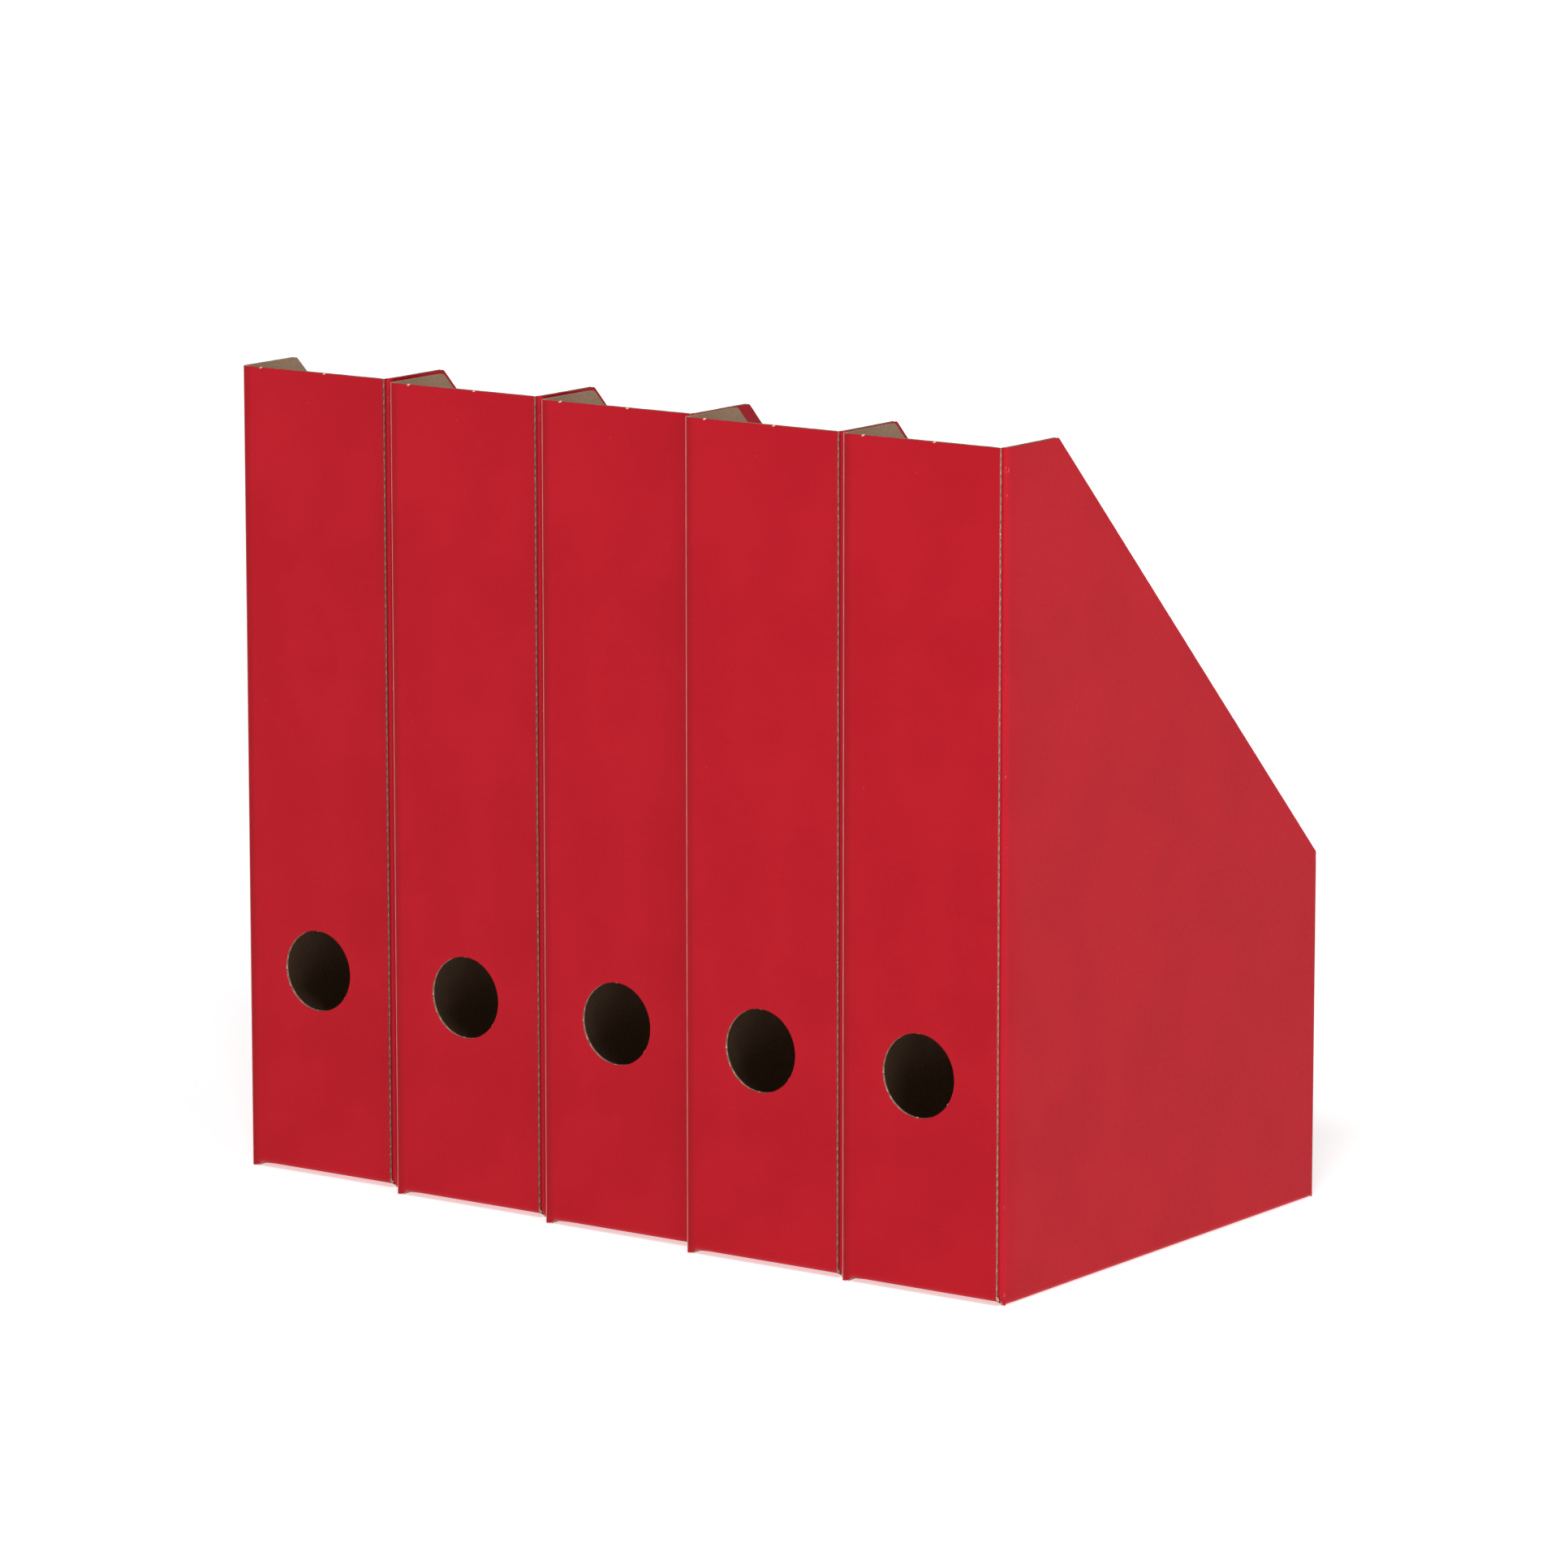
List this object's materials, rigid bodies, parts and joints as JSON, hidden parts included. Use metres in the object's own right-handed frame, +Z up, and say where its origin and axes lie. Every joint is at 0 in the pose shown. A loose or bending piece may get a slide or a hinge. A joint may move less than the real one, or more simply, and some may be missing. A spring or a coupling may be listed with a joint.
{
  "type": "cardboard magazine file set",
  "caption": "Row of tall cardboard magazine files with a sloping cut-away back, a low rear edge and a round finger hole in each front.",
  "frame": {"origin": "bottom centre of the whole row's bounding box, on the surface the files stand on", "axes": "+Z up; -Y is the side the closed fronts and finger holes face; +X runs along the row, to the right as seen from the front"},
  "size_m": [0.372, 0.2406, 0.32],
  "materials": {
    "red_faced_board": "satin red printed face outside, plain brown kraft inside"
  },
  "bodies": {
    "file_1": {"file_1_left_wall": "red_faced_board", "file_1_right_wall": "red_faced_board", "file_1_front_panel": "red_faced_board", "file_1_front_glue_flap": "red_faced_board", "file_1_back_panel": "red_faced_board", "file_1_floor_left": "red_faced_board", "file_1_floor_right": "red_faced_board", "file_1_front_dust_flap": "red_faced_board", "file_1_back_dust_flap": "red_faced_board"},
    "file_2": {"file_2_left_wall": "red_faced_board", "file_2_right_wall": "red_faced_board", "file_2_front_panel": "red_faced_board", "file_2_front_glue_flap": "red_faced_board", "file_2_back_panel": "red_faced_board", "file_2_floor_left": "red_faced_board", "file_2_floor_right": "red_faced_board", "file_2_front_dust_flap": "red_faced_board", "file_2_back_dust_flap": "red_faced_board"},
    "file_3": {"file_3_left_wall": "red_faced_board", "file_3_right_wall": "red_faced_board", "file_3_front_panel": "red_faced_board", "file_3_front_glue_flap": "red_faced_board", "file_3_back_panel": "red_faced_board", "file_3_floor_left": "red_faced_board", "file_3_floor_right": "red_faced_board", "file_3_front_dust_flap": "red_faced_board", "file_3_back_dust_flap": "red_faced_board"},
    "file_4": {"file_4_left_wall": "red_faced_board", "file_4_right_wall": "red_faced_board", "file_4_front_panel": "red_faced_board", "file_4_front_glue_flap": "red_faced_board", "file_4_back_panel": "red_faced_board", "file_4_floor_left": "red_faced_board", "file_4_floor_right": "red_faced_board", "file_4_front_dust_flap": "red_faced_board", "file_4_back_dust_flap": "red_faced_board"},
    "file_5": {"file_5_left_wall": "red_faced_board", "file_5_right_wall": "red_faced_board", "file_5_front_panel": "red_faced_board", "file_5_front_glue_flap": "red_faced_board", "file_5_back_panel": "red_faced_board", "file_5_floor_left": "red_faced_board", "file_5_floor_right": "red_faced_board", "file_5_front_dust_flap": "red_faced_board", "file_5_back_dust_flap": "red_faced_board"}
  },
  "joints": [
    {"name": "file_1_pull_out", "type": "slide", "parent": "file_3", "child": "file_1", "axis": [0, -1, 0], "range_m": [0, 0.235]},
    {"name": "file_2_pull_out", "type": "slide", "parent": "file_3", "child": "file_2", "axis": [0, -1, 0], "range_m": [0, 0.235]},
    {"name": "file_4_pull_out", "type": "slide", "parent": "file_3", "child": "file_4", "axis": [0, -1, 0], "range_m": [0, 0.235]},
    {"name": "file_5_pull_out", "type": "slide", "parent": "file_3", "child": "file_5", "axis": [0, -1, 0], "range_m": [0, 0.235]}
  ]
}
